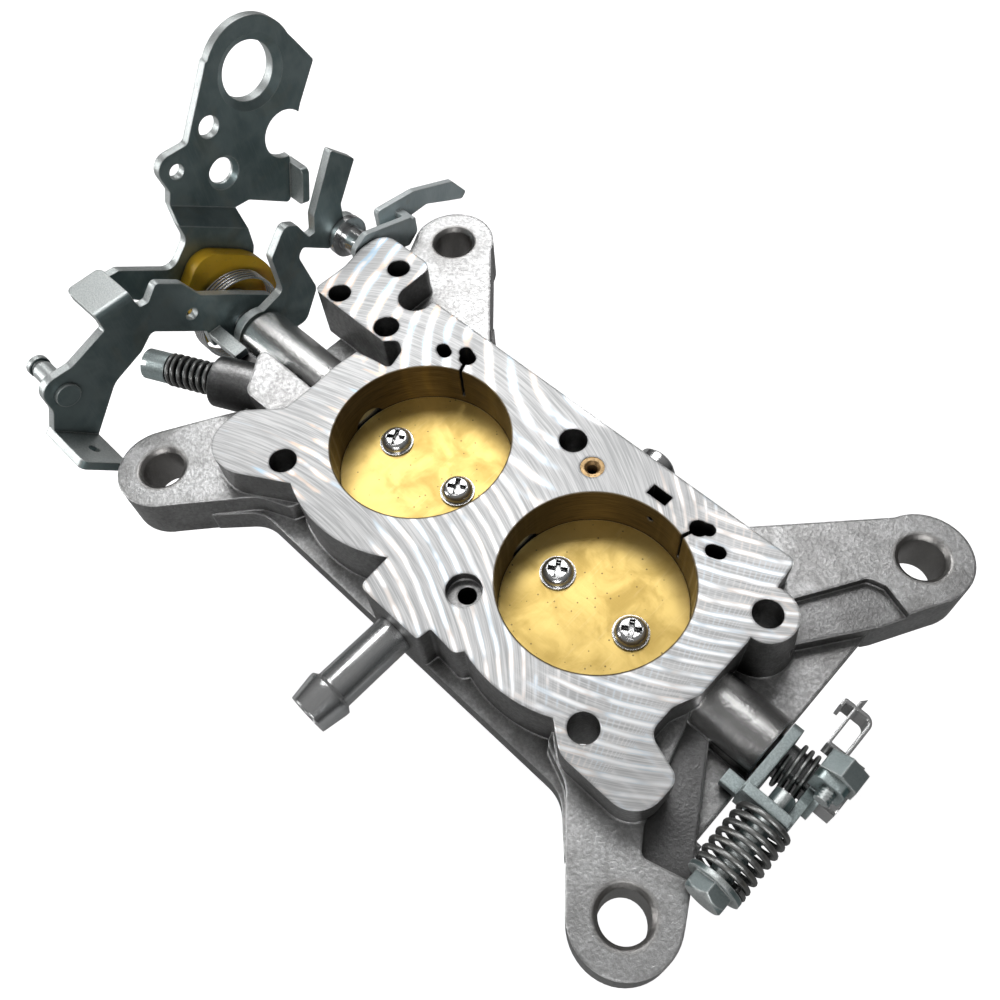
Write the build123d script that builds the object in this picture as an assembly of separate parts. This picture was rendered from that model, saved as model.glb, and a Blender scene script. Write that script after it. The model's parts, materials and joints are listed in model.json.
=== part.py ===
from build123d import *
import os
from math import atan2, cos, degrees, hypot, radians, sin, tan

# Throttle body assembly of a two-barrel carburettor.
# Millimetres. Origin: midway between the two bores, on the bottom mounting face.
# +Z up (towards the machined top face), +X along the throttle shaft, +Y across it.

# ---------------------------------------------------------------- driving dimensions
BORE_SPREAD = 48.1            # distance between the two bore axes
BORE_X = BORE_SPREAD / 2
BORE_R = 19.05                # 1 1/2 in throttle bores
TOP_Z = 19.5                  # machined top face
ARM_Z = 11.3                  # top of the four mounting arms
FLANGE_Z = 6.0                # top of the flange plate
FLANGE_X = 68.0               # half length of the flange plate
FLANGE_Y = 31.3               # half width of the flange plate

SHAFT_R = 3.97                # 5/16 in throttle shaft
SHAFT_GAP = 0.05              # radial running clearance
AXIS_Z = 7.2                  # height of the throttle shaft
TUBE_R = 6.9                  # cast tubes around the shaft ends
TUBE_LEFT = -81.5
TUBE_RIGHT = 66.5
BUSH_R = 5.2
BUSH_LENGTH = 12.0
SHAFT_LEFT = -108.0
SHAFT_RIGHT = 81.5

PLATE_R = 18.95               # throttle plates
PLATE_T = 1.5
SCREW_OFFSET = 9.6            # plate screws, each side of a bore axis
PLATE_SCREW_R = 1.6
PLATE_SCREW_HEAD_R = 3.3
DOUBLE_D = 6.0                # width over the two flats that carry the levers

MOUNT_SPACING_X = 131.76      # manifold stud pattern
MOUNT_SPACING_Y = 89.75
MOUNT_CENTRE_Y = 4.85
MOUNT_HOLE_R = 4.5
ARM_END_R = 9.9

BODY_SCREW_R = 2.97           # clearance holes for the screws of the main body
FRONT_SCREW_X = 41.54
FRONT_SCREW_Y = -22.94
REAR_SCREW_X = 52.0
REAR_SCREW_Y = 15.9
MIDDLE_SCREW_Y = 20.79
BRACKET_HOLES = ((-63.0, 29.9), (-67.8, 15.6))
BRACKET_HOLE_R = 2.7
BRACKET_HOLE_END = 6.5        # blind end of the bracket holes

BARB_Z = 9.8                  # vacuum tube
BARB_ROOT_R = 4.0
BARB_DEPTH = 6.0
PLUG_X = 14.9                 # threaded plug in the rear wall
PLUG_Z = 14.2
PLUG_R = 3.4
PLUG_DEPTH = 7.0
BLEED_X = 7.2                 # brass bleed pressed into the top face
BLEED_Y = 18.5
BLEED_R = 2.5
BLEED_DEPTH = 3.0

# The lever stack on the left end of the shaft: the +X face of each plate.
PICKUP_X = -83.5
KICKDOWN_X = -88.0
CAM_X = -95.6
THROTTLE_LEVER_X = -99.0
JOGGLE = 4.0                  # the upper part of the throttle lever steps out this far
LEVER_T = 2.0
PICKUP_T = 2.2
CAM_T = 3.4
CAM_SCREW = (-3.6, 14.8)      # (Y, Z) centres
STUD = (-44.5, 23.0)
BIG_HOLE = (29.3, 53.3)
BIG_HOLE_R = 6.7
PIN_Y = 30.5                  # choke link pin on the pickup lever
PIN_Z = 17.0
LINK_X = -75.2                # +X face of the link lever on its pin
LINK_T = 1.5
FINGER_X = -80.0

IDLE_Z = 10.5                 # idle stop screw, level and aimed at the lever stack
IDLE_HEAD = Vector(-93.2, -24.6, IDLE_Z)
IDLE_DIRECTION = Vector(0.905, 0.425, 0.0)
IDLE_SHANK_R = 2.3
IDLE_HEAD_R = 3.6
IDLE_HEAD_LENGTH = 6.0

FAST_X = 73.4                 # fast idle screw, parallel to Y
FAST_Z = 15.8
FAST_HEAD_Y = -30.4           # outer end of its head
FAST_SEAT_Y = -26.4           # spring side of its head
FAST_TIP_Y = -7.5
FAST_SHANK_R = 2.0
FAST_INNER = 67.2             # -X face of the inner cheek
FAST_CHEEK = 2.0
FAST_OUTER = 77.2             # +X face of the outer cheek
FAST_OUTER_T = 1.7
LEG_Y = -12.6                 # outer face of the leg that holds the screw
LEG_T = 2.0
CLAMP_X = 78.2                # stud and nut that hold the spring clip
CLAMP_Z = 16.9
CLAMP_R = 1.4
NUT_LOW = -0.55
NUT_HIGH = 3.45
CLIP_T = 0.7
HOLE_GAP = 0.1                # clearance of a screw shank in its own hole


# ---------------------------------------------------------------- helpers
def outline(corners):
    """Closed face through (u, v, radius) corners; a radius rounds that corner."""
    count = len(corners)
    starts, middles, ends = [], [], []
    for i, (u, v, radius) in enumerate(corners):
        point = Vector(u, v)
        before = Vector(*corners[i - 1][:2]) - point
        after = Vector(*corners[(i + 1) % count][:2]) - point
        if radius == 0:
            starts.append(point)
            middles.append(None)
            ends.append(point)
            continue
        half = radians(before.get_angle(after)) / 2
        back = radius / tan(half)
        inward = (before.normalized() + after.normalized()).normalized()
        centre = point + inward * (radius / sin(half))
        starts.append(point + before.normalized() * back)
        middles.append(centre - inward * radius)
        ends.append(point + after.normalized() * back)
    edges = []
    for i in range(count):
        if middles[i] is not None:
            edges.append(Edge.make_three_point_arc(starts[i], middles[i], ends[i]))
        following = starts[(i + 1) % count]
        if (following - ends[i]).length > 1e-4:
            edges.append(Edge.make_line(ends[i], following))
    return Face(Wire(edges))


def disc(u, v, radius):
    return Pos(u, v) * Circle(radius)


def prism(face, low, high):
    """A horizontal outline raised from one height to another."""
    return extrude(Pos(0, 0, low) * face, high - low, dir=(0, 0, 1))


def lever_plate(face, front, thickness):
    """A (Y, Z) outline as a plate whose +X face is at front."""
    return extrude(Plane.YZ.offset(front - thickness) * face, thickness, dir=(1, 0, 0))


def rod(radius, start, end):
    """Round bar between two points."""
    start = Vector(start)
    end = Vector(end)
    base = Plane(origin=start, z_dir=(end - start).normalized())
    length = (end - start).length
    return base * Cylinder(radius, length, align=(Align.CENTER, Align.CENTER, Align.MIN))


def taper_rod(radius_start, radius_end, start, end):
    """Cone frustum between two points."""
    start = Vector(start)
    end = Vector(end)
    base = Plane(origin=start, z_dir=(end - start).normalized())
    length = (end - start).length
    align = (Align.CENTER, Align.CENTER, Align.MIN)
    return base * Cone(radius_start, radius_end, length, align=align)


def rod_x(radius, low, high, y=0.0, z=AXIS_Z):
    return rod(radius, (low, y, z), (high, y, z))


def rod_y(radius, low, high, x, z):
    return rod(radius, (x, low, z), (x, high, z))


def rod_z(radius, low, high, x, y):
    return rod(radius, (x, y, low), (x, y, high))


def hexagon(flats, start, end):
    """Hexagonal bar between two points."""
    start = Vector(start)
    end = Vector(end)
    base = Plane(origin=start, z_dir=(end - start).normalized())
    shape = RegularPolygon(flats / 2, 6, major_radius=False)
    return extrude(base * shape, (end - start).length, dir=(end - start).normalized())


def box(low, high):
    size = [h - l for l, h in zip(low, high)]
    middle = [(h + l) / 2 for l, h in zip(low, high)]
    return Pos(*middle) * Box(*size)


def coil(radius, wire, start, end, turns):
    """Helical wire whose centre line runs from start to end."""
    start = Vector(start)
    end = Vector(end)
    length = (end - start).length
    helix = Edge.make_helix(length / turns, length, radius, center=start, normal=end - start)
    section = Plane(origin=helix @ 0, z_dir=helix % 0) * Circle(wire)
    return sweep(section, path=helix)


def bent_strip(hinge_start, hinge_end, front, reach, thickness, hole=None):
    """Flange folded square off a lever plate along a (Y, Z) line, reaching along X."""
    (y0, z0), (y1, z1) = hinge_start, hinge_end
    length = hypot(y1 - y0, z1 - z0)
    across = Vector(0, (y1 - y0) / length, (z1 - z0) / length)
    plane = Plane(origin=(front, y0, z0), x_dir=across, z_dir=Vector(1, 0, 0).cross(across))
    # local x runs along the fold, local y runs along -X or +X
    sign = 1 if plane.y_dir.X * reach > 0 else -1
    corner = 1.5
    far = sign * abs(reach)
    face = outline([(0, 0, 0), (length, 0, 0), (length, far, corner), (0, far, corner)])
    strip = extrude(plane * face, thickness)
    bend = 0.9 * thickness
    middle = Pos(length / 2, sign * bend, thickness - bend)
    corner_block = middle * Pos(0, -sign * bend / 2, bend / 2) * Box(length + 2, bend, bend)
    corner_block -= middle * Rot(0, 90, 0) * Cylinder(bend, length + 4)
    strip -= plane * corner_block
    if hole is not None:
        along, out, radius = hole
        cutter = plane * Pos(along, sign * out, 0) * Cylinder(radius, 4 * thickness)
        strip -= cutter
    return strip


# ---------------------------------------------------------------- casting
def top_outline():
    """Outline of the machined top face and the walls below it."""
    main = outline([
        (-51.7, 7.2, 0), (-51.7, -14.0, 3.0), (-58.6, -21.0, 3.0), (-58.6, -32.4, 7.0),
        (-48.0, -32.4, 7.0), (-36.2, -25.5, 0), (-25.0, -22.0, 0), (-8.6, -22.0, 0),
        (-8.0, -31.3, 1.6), (8.0, -31.3, 0.8), (8.4, -28.2, 0.5), (15.0, -28.6, 1.5),
        (17.6, -25.0, 0), (30.0, -24.0, 0), (36.4, -25.2, 0), (41.5, -29.2, 5.0),
        (59.0, -29.2, 5.9), (59.0, -18.7, 2.6), (50.4, -15.8, 3.0), (50.4, -9.5, 3.0),
        (52.6, -4.5, 2.0), (52.6, 9.0, 0), (50.0, 22.0, 3.0), (49.4, 28.2, 1.5),
        (-49.2, 28.2, 0), (-56.0, 28.2, 0), (-56.0, 12.7, 0), (-51.7, 12.7, 0)])
    boss = outline([
        (-73.4, 12.6, 1.5), (-50.0, 12.6, 0), (-50.0, 28.2, 0), (-57.3, 28.2, 0),
        (-57.3, 35.6, 3.0), (-74.7, 35.6, 4.5), (-74.7, 28.5, 4.0), (-73.3, 22.0, 4.0)])
    pocket = outline([
        (-53.0, 6.2, 0), (-47.0, 7.6, 1.0), (-42.6, 8.2, 1.2), (-44.2, 13.5, 2.0),
        (-47.0, 15.0, 1.5), (-49.6, 12.6, 0), (-53.0, 12.6, 0)])
    shape = main + boss
    for x in (-BORE_X, BORE_X):
        shape += disc(x, 0, 28.1)
    shape += disc(REAR_SCREW_X, REAR_SCREW_Y, 5.8)
    shape -= pocket
    shape -= disc(-53.3, 26.3, 4.1) + Pos(-53.3, 33.3) * Rectangle(8.2, 14)
    clip_low = -40.0
    above = outline([(-80, clip_low, 0), (62, clip_low, 0), (62, 36, 0), (-80, 36, 0)])
    trim = Pos(0, 28.2 + 10) * Rectangle(98.4, 20)
    return (shape & above) - trim


def arm_outline(side, rear):
    """One mounting arm, from under the body out to its stud hole."""
    hole_x = MOUNT_SPACING_X / 2
    if rear:
        hole_y = MOUNT_CENTRE_Y + MOUNT_SPACING_Y / 2
        corners = [
            (24.0, 18.0, 0), (24.0, 28.4, 0), (34.5, 30.4, 7.0), (59.2, 56.3, 0),
            (hole_x + 8.44, 44.6, 0), (68.0, 33.0, 0), (57.6, 18.2, 0), (40.0, 16.0, 0)]
    else:
        hole_y = MOUNT_CENTRE_Y - MOUNT_SPACING_Y / 2
        corners = [
            (34.0, -20.0, 0), (37.0, -27.6, 2.0), (44.3, -30.6, 8.0), (58.9, -47.0, 0),
            (hole_x + 8.44, -34.8, 0), (68.0, -23.7, 0), (56.0, -4.0, 5.0), (44.0, -4.0, 0)]
    shape = outline([(side * x, y, radius) for x, y, radius in corners])
    return shape + disc(side * hole_x, hole_y, ARM_END_R)


def flange_outline():
    """Flange plate with rounded roots where the arms leave it."""
    plate = outline([
        (-FLANGE_X, -FLANGE_Y, 2.0), (FLANGE_X, -FLANGE_Y, 2.0),
        (FLANGE_X, FLANGE_Y, 2.0), (-FLANGE_X, FLANGE_Y, 2.0)])
    root = 8.0
    for side in (-1, 1):
        for x, y in ((43.75, -FLANGE_Y), (34.06, FLANGE_Y)):
            out = 1 if y > 0 else -1
            plate += outline([
                (side * (x - root), y - out, 0), (side * (x - root), y, 0), (side * x, y, root),
                (side * (x + root), y + out * root, 0), (side * (x + root), y - out, 0)])
    return plate


def casting_walls():
    """All the metal of the throttle body before any hole is cut."""
    body = prism(flange_outline(), 0, FLANGE_Z)
    for side in (-1, 1):
        for rear in (False, True):
            body += prism(arm_outline(side, rear), 0, ARM_Z)
    boss_low = 5.5
    walls = prism(top_outline(), 0, TOP_Z)
    overhang = box((-90, 12.0, -1), (-57.0, 40, boss_low)) - box((-68, 0, -2), (-40, 31.3, 10))
    body += walls - overhang
    boss_foot = 7.4
    body += taper_rod(boss_foot, 5.8, (REAR_SCREW_X, REAR_SCREW_Y, FLANGE_Z - 1),
                      (REAR_SCREW_X, REAR_SCREW_Y, TOP_Z))
    return body


def idle_boss():
    """Boss for the idle stop screw and the cast step it grows from."""
    start = IDLE_HEAD + IDLE_DIRECTION * 19.0
    end = IDLE_HEAD + IDLE_DIRECTION * 36.0
    boss = rod(6.0, start, end)
    step = outline([
        (-71.0, -6.0, 1.5), (-50.0, -6.0, 0), (-50.0, -16.0, 0), (-63.5, -16.4, 3.0)])
    web = box((-79.5, -13.0, 2.0), (-60.0, -5.0, 10.0))
    return boss + web + prism(step, 0, TOP_Z - 2.2)


def arm_panels():
    """Shallow recesses in the flanks of the arms on the right."""
    depth = 2.0
    rear = outline([
        (52.4, 25.4, 1.0), (60.6, 39.0, 2.0), (64.0, 39.9, 1.0), (75.0, 36.0, 0), (57.1, 14.0, 0)])
    front = outline([
        (52.0, -5.0, 0), (58.6, -26.4, 2.0), (61.8, -31.0, 1.5), (75.0, -27.0, 0), (58.0, -2.0, 0)])
    return prism(rear + front, ARM_Z - depth, ARM_Z + 1)


def slot(x, y, length, width, angle, depth):
    face = Pos(x, y) * Rot(0, 0, angle) * SlotOverall(length, width)
    return prism(face, TOP_Z - depth, TOP_Z + 1)


def transfer_port(side):
    """Keyhole beside a bore, its slit into the bore wall, and the small oval next to it."""
    key_x, key_y = side * 31.7, 21.6
    lean = degrees(atan2(key_y, key_x - side * BORE_X))
    key = rod_z(1.9, TOP_Z - 9, TOP_Z + 1, key_x, key_y)
    key += slot(key_x + side * 0.9, key_y + 0.7, 4.4, 2.9, 20 if side > 0 else 160, 9)
    middle = (side * 30.9, 19.4)
    slit = prism(Pos(*middle) * Rot(0, 0, lean) * Rectangle(5.0, 0.8), TOP_Z - 9, TOP_Z + 1)
    oval = slot(side * 37.2, 19.7, 4.2, 3.0, 20 if side > 0 else 160, 8)
    return key + slit + oval


def screw_holes():
    """Vertical holes for the main body's screws, the bracket screws and the studs."""
    centres = [(0, MIDDLE_SCREW_Y)]
    for side in (-1, 1):
        centres.append((side * FRONT_SCREW_X, FRONT_SCREW_Y))
        centres.append((side * REAR_SCREW_X, REAR_SCREW_Y))
    holes = [rod_z(BODY_SCREW_R, -1, TOP_Z + 1, x, y) for x, y in centres]
    holes += [rod_z(BRACKET_HOLE_R, BRACKET_HOLE_END, TOP_Z + 1, x, y) for x, y in BRACKET_HOLES]
    for side in (-1, 1):
        for end in (-1, 1):
            x = side * MOUNT_SPACING_X / 2
            y = MOUNT_CENTRE_Y + end * MOUNT_SPACING_Y / 2
            holes.append(rod_z(MOUNT_HOLE_R, -1, ARM_Z + 1, x, y))
            holes.append(taper_rod(MOUNT_HOLE_R, MOUNT_HOLE_R + 1.2, (x, y, ARM_Z - 0.9),
                                   (x, y, ARM_Z + 0.3)))
    return holes


def passages():
    """Shaft bore, vacuum passages, metering ports and their pockets."""
    cuts = [rod_x(SHAFT_R + 0.2, -90, 90)]
    cuts.append(rod_x(BUSH_R, TUBE_LEFT - 1, TUBE_LEFT + BUSH_LENGTH))
    cuts.append(rod_x(BUSH_R, TUBE_RIGHT - BUSH_LENGTH, TUBE_RIGHT + 1))
    cuts.append(rod_y(2.9, -40, -21.0, 0, BARB_Z))
    cuts.append(rod_y(BARB_ROOT_R, -40, -FLANGE_Y + BARB_DEPTH, 0, BARB_Z))
    cuts.append(rod_z(2.6, -1, BARB_Z, 0, -23.5))
    cuts.append(prism(Pos(0, -23.5) * SlotOverall(15, 7), -1, 2.5))
    cuts.append(rod_y(PLUG_R, 28.2 - PLUG_DEPTH, 40, PLUG_X, PLUG_Z))
    for side in (-1, 1):
        cuts.append(transfer_port(side))
    cuts.append(prism(Pos(21.4, 22.4) * Rectangle(4.7, 2.6), TOP_Z - 9, TOP_Z + 1))
    cuts.append(rod_y(0.8, 17.0, 22.4, 22.1, TOP_Z - 4.3))
    cuts.append(rod_z(BLEED_R, TOP_Z - BLEED_DEPTH, TOP_Z + 1, BLEED_X, BLEED_Y))
    cuts.append(rod_z(1.3, TOP_Z - 10, TOP_Z, BLEED_X, BLEED_Y))
    cuts.append(rod_z(3.6, TOP_Z - 2.6, TOP_Z + 1, 7.4, -18.4))
    cuts.append(rod_z(1.9, TOP_Z - 11, TOP_Z, 7.7, -18.1))
    return cuts


def throttle_body():
    body = casting_walls() + idle_boss()
    body -= arm_panels()
    body += rod_x(TUBE_R, TUBE_LEFT, -45.0)
    body += rod_x(TUBE_R, 45.0, TUBE_RIGHT)
    # room for the fast idle lever to turn beside the end of the flange
    body -= box((66.6, -21.4, -1), (FLANGE_X + 1, FLANGE_Y + 0.1, FLANGE_Z + 2))
    for x in (-BORE_X, BORE_X):
        body -= rod_z(BORE_R, -1, TOP_Z + 1, x, 0)
    for cut in screw_holes() + passages():
        body -= cut
    idle_end = IDLE_HEAD + IDLE_DIRECTION * 34.0
    body -= rod(IDLE_SHANK_R + SHAFT_GAP, IDLE_HEAD, idle_end)
    return body


def shaft_bush():
    bushes = []
    for low in (TUBE_LEFT, TUBE_RIGHT - BUSH_LENGTH):
        ring = rod_x(BUSH_R, low, low + BUSH_LENGTH)
        bushes.append(ring - rod_x(SHAFT_R + SHAFT_GAP, low - 1, low + BUSH_LENGTH + 1))
    return Compound(children=bushes)


def air_bleed():
    ring = rod_z(BLEED_R, TOP_Z - BLEED_DEPTH, TOP_Z - 0.1, BLEED_X, BLEED_Y)
    ring -= rod_z(1.1, TOP_Z - BLEED_DEPTH - 1, TOP_Z + 1, BLEED_X, BLEED_Y)
    return ring - taper_rod(1.1, 1.7, (BLEED_X, BLEED_Y, TOP_Z - 0.9), (BLEED_X, BLEED_Y, TOP_Z))


def hose_barb():
    """Pressed-in vacuum tube with a bead near its open end."""
    root = -FLANGE_Y
    end = -54.0
    tube = rod_y(BARB_ROOT_R, root - 0.0, root + BARB_DEPTH, 0, BARB_Z)
    tube += rod_y(4.2, -47.4, root, 0, BARB_Z)
    tube += taper_rod(4.2, 5.2, (0, -47.4, BARB_Z), (0, -48.1, BARB_Z))
    tube += rod_y(5.2, -48.9, -48.1, 0, BARB_Z)
    tube += taper_rod(5.2, 4.4, (0, -48.9, BARB_Z), (0, end, BARB_Z))
    return tube - rod_y(2.9, end - 1, root + BARB_DEPTH + 1, 0, BARB_Z)


def side_plug():
    plug = rod_y(PLUG_R, 28.2 - PLUG_DEPTH, 28.2, PLUG_X, PLUG_Z)
    plug += rod_y(4.4, 28.2, 30.6, PLUG_X, PLUG_Z)
    plug += taper_rod(4.4, 3.4, (PLUG_X, 30.6, PLUG_Z), (PLUG_X, 31.4, PLUG_Z))
    return plug - hexagon(3.0, (PLUG_X, 29.4, PLUG_Z), (PLUG_X, 32, PLUG_Z))


# ---------------------------------------------------------------- throttle shaft and plates
def throttle_shaft():
    shaft = rod_x(SHAFT_R, SHAFT_LEFT, SHAFT_RIGHT)
    for x in (-BORE_X, BORE_X):
        half = BORE_R + 0.3
        shaft -= box((x - half, -5, AXIS_Z), (x + half, 5, AXIS_Z + 5))
        for offset in (-SCREW_OFFSET, SCREW_OFFSET):
            shaft -= rod_z(PLATE_SCREW_R + HOLE_GAP, 0, AXIS_Z + 1, x + offset, 0)
    for side in (-1, 1):
        flat = side * DOUBLE_D / 2
        low, high = sorted((flat, flat + side * 5))
        shaft -= box((SHAFT_LEFT - 1, low, 0), (KICKDOWN_X + 0.5, high, 20))
        shaft -= box((66.9, low, 0), (SHAFT_RIGHT + 1, high, 20))
    return shaft


def double_d_hole(front, thickness):
    """Cutter that matches the flats on the ends of the shaft."""
    gap = 0.02
    bar = rod_x(SHAFT_R + gap, front - thickness - 1, front + 1)
    flats = box((front - thickness - 1, -DOUBLE_D / 2 - gap, 0),
                (front + 1, DOUBLE_D / 2 + gap, 20))
    return bar & flats


def throttle_plate():
    plates = []
    for x in (-BORE_X, BORE_X):
        plate = rod_z(PLATE_R, AXIS_Z, AXIS_Z + PLATE_T, x, 0)
        for offset in (-SCREW_OFFSET, SCREW_OFFSET):
            plate -= rod_z(PLATE_SCREW_R + HOLE_GAP, 0, 20, x + offset, 0)
        plates.append(plate)
    return Compound(children=plates)


def plate_screw():
    screws = []
    seat = AXIS_Z + PLATE_T
    for x in (-BORE_X, BORE_X):
        for offset in (-SCREW_OFFSET, SCREW_OFFSET):
            centre = x + offset
            ring = rod_z(3.7, seat, seat + 0.45, centre, 0)
            head = rod_z(PLATE_SCREW_HEAD_R, seat, seat + 2.2, centre, 0)
            head = fillet(head.edges().filter_by(GeomType.CIRCLE).sort_by(Axis.Z)[-1], 1.5)
            shank = rod_z(PLATE_SCREW_R, AXIS_Z - 4.6, seat + 0.2, centre, 0)
            screw = ring + head + shank
            for turn in (0, 90):
                arm = Rot(0, 0, 33 + turn) * Box(4.0, 1.1, 2.6)
                screw -= Pos(centre, 0, seat + 2.2) * arm
            screws.append(screw)
    return Compound(children=screws)


# ---------------------------------------------------------------- lever stack, left end
def throttle_lever():
    """Main lever: a lower plate on the shaft and an upper plate stepped out by the joggle."""
    lower = outline([
        (-1.9, 33.5, 0), (-1.6, 29.0, 3.0), (-7.5, 24.0, 3.0), (-18.8, 32.6, 2.0),
        (-23.0, 33.0, 1.5), (-23.4, 28.0, 2.0), (-9.6, 14.0, 3.0), (-9.6, -1.6, 7.0),
        (9.6, -1.6, 7.0), (10.4, 9.0, 4.0), (13.6, 16.0, 4.0), (13.8, 21.5, 0)])
    upper = outline([
        (-0.4, 36.1, 0), (0.9, 39.0, 1.0), (-0.6, 47.3, 3.6), (9.0, 46.8, 1.5),
        (19.7, 61.0, 0), (29.5, 62.0, 0), (39.8, 58.9, 0), (42.4, 54.2, 2.0), (45.8, 47.8, 0.8),
        (39.4, 39.9, 0.8), (32.6, 29.6, 1.5), (31.4, 22.2, 4.0), (28.8, 17.0, 1.0),
        (18.4, 24.9, 1.5), (14.4, 25.3, 0)])
    upper += disc(29.5, 53.6, 11.9)
    upper -= disc(33.2, 34.9, 5.9)
    front = THROTTLE_LEVER_X
    high_front = front - JOGGLE
    high_back = high_front - LEVER_T
    plate = lever_plate(lower, front, LEVER_T)
    plate += lever_plate(upper, high_front, LEVER_T)
    plate += joggle_web((-1.9, 33.5), (13.8, 21.5), (-0.4, 36.1), (14.4, 25.3), front)
    plate += rod_x(BIG_HOLE_R + 1.3, high_back - 1.5, high_back, *BIG_HOLE)
    holes = ((*BIG_HOLE, BIG_HOLE_R), (15.3, 47.6, 2.6), (14.8, 35.3, 3.2), (4.3, 42.5, 1.8))
    for y, z, radius in holes:
        plate -= rod_x(radius, front - JOGGLE - 5, front + 5, y, z)
    depth = 1.2
    for (y, z, radius), flare in ((holes[0], 1.9), (holes[2], 0.9)):
        plate -= taper_rod(radius, radius + flare, (high_front - depth, y, z), (high_front, y, z))
    plate += bent_strip((29.4, 18.2), (32.0, 27.4), high_back, 7.0, LEVER_T)
    plate -= cam_screw_hole()
    return plate - double_d_hole(front, LEVER_T)


def joggle_web(low_a, low_b, high_a, high_b, front):
    """Sloped strip between the lower plate and the stepped-out upper plate."""
    def quad(shift):
        corners = []
        for (y, z), x in ((low_a, front), (low_b, front)):
            corners.append(Vector(x + shift, y, z))
        for (y, z), x in ((high_b, front - JOGGLE), (high_a, front - JOGGLE)):
            corners.append(Vector(x + shift, y, z))
        return corners
    faces = []
    near, far = quad(0), quad(-LEVER_T)
    rings = [near, far]
    for i in range(4):
        j = (i + 1) % 4
        rings.append([near[i], near[j], far[j], far[i]])
    for ring in rings:
        faces.append(Face(Wire.make_polygon(ring[:3], close=True)))
        faces.append(Face(Wire.make_polygon([ring[0], ring[2], ring[3]], close=True)))
    return Solid(Shell(faces))


def cam_screw_hole():
    y, z = CAM_SCREW
    return rod_x(1.8, THROTTLE_LEVER_X - LEVER_T - 1, THROTTLE_LEVER_X + 1, y, z)


def kickdown_lever():
    """Inner lever with the long stud arm, a top tab and a stop lug over the shaft tube."""
    front = KICKDOWN_X
    face = outline([
        (-30.6, 33.4, 0), (-21.9, 33.4, 0), (-21.4, 31.0, 0.6), (-19.4, 30.8, 0.8),
        (-16.0, 34.0, 1.2), (-10.6, 29.6, 2.0), (-7.8, 23.6, 2.0), (0.9, 16.9, 3.0),
        (9.6, 9.6, 5.0), (7.6, -1.4, 7.0), (-7.6, -1.4, 7.0), (-9.6, 12.8, 4.0),
        (-21.8, 23.4, 1.5), (-26.0, 20.3, 2.0), (-34.7, 17.3, 6.0), (-44.1, 7.3, 0),
        (-51.4, 16.4, 0), (-49.0, 21.0, 3.0), (-49.0, 28.8, 4.0), (-40.5, 28.3, 2.0),
        (-30.6, 31.4, 0.6)])
    plate = lever_plate(face, front, LEVER_T)
    plate += bent_strip((-51.4, 16.4), (-44.1, 7.3), front - LEVER_T, 14.2, LEVER_T,
                        hole=(6.2, 8.5, 1.3))
    plate += bent_strip((-30.6, 33.4), (-21.9, 33.4), front, -12.0, LEVER_T)
    arm = outline([(-4.0, 6.0, 0), (-10.4, 8.0, 1.0), (-10.4, 13.4, 0), (-6.0, 16.0, 0)])
    plate += lever_plate(arm, front, LEVER_T)
    plate += box((front - 0.5, -10.2, 10.5), (-77.6, -6.9, 12.5))
    plate -= rod_x(1.5, front - 5, front + 5, -11.7, 20.6)
    plate -= rod_x(2.0 + 0.02, front - 5, front + 5, *STUD)
    return plate - double_d_hole(front, LEVER_T)


def lever_stud():
    """Riveted stud with a grooved end for a linkage clip."""
    y, z = STUD
    low, high = KICKDOWN_X - LEVER_T, KICKDOWN_X
    stud = rod_x(2.0, low, high, y, z)
    stud += rod_x(2.8, high, high + 0.9, y, z)
    stud += rod_x(3.2, low - 1.4, low, y, z)
    stud += rod_x(2.3, low - 7.7, low - 1.4, y, z)
    stud += rod_x(1.7, low - 8.9, low - 7.7, y, z)
    return stud + rod_x(2.5, low - 10.1, low - 8.9, y, z)


def pump_cam():
    """Plastic cam: a fan with one raised nose on a round hub, screwed to the throttle lever."""
    nose = Pos(-0.6, AXIS_Z + 11.8) * Circle(5.6)
    round_back = Pos(0, AXIS_Z) * Circle(14.4)
    fan = Pos(2.75, 22) * Rectangle(23.5, 40)
    face = make_hull(round_back.edges() + nose.edges()) & fan
    face += Pos(0, AXIS_Z) * Circle(8.6)
    cam = lever_plate(face, CAM_X, CAM_T)
    cam -= double_d_hole(CAM_X, CAM_T)
    return cam - rod_x(1.7, CAM_X - 10, CAM_X + 10, *CAM_SCREW)


def cam_screw():
    y, z = CAM_SCREW
    back = THROTTLE_LEVER_X - LEVER_T
    screw = rod_x(1.6, back - 1.2, CAM_X, y, z)
    head = rod_x(2.0, CAM_X, CAM_X + 1.5, y, z)
    return screw + head - box((CAM_X + 0.7, y - 0.4, z - 4), (CAM_X + 3, y + 0.4, z + 4))


def lever_spacer():
    """Collar that holds the lever spring clear of the shaft."""
    low, high = CAM_X, KICKDOWN_X - LEVER_T
    collar = rod_x(5.5, low, high)
    return collar - rod_x(SHAFT_R + 0.03, low - 1, high + 1)


def lever_spring():
    start = (KICKDOWN_X - LEVER_T - 0.55, 0, AXIS_Z)
    end = (CAM_X + 0.55, 0, AXIS_Z)
    return coil(10.9, 0.3, start, end, 5.0)


def lever_washer():
    back = THROTTLE_LEVER_X - LEVER_T
    ring = rod_x(6.6, back - 1.2, back)
    return ring - rod_x(SHAFT_R + 0.1, back - 3, back + 1)


def shaft_nut():
    back = THROTTLE_LEVER_X - LEVER_T - 1.2
    nut = hexagon(13.0, (back - 4.6, 0, AXIS_Z), (back, 0, AXIS_Z))
    return nut - rod_x(SHAFT_R, back - 6, back + 1)


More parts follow.
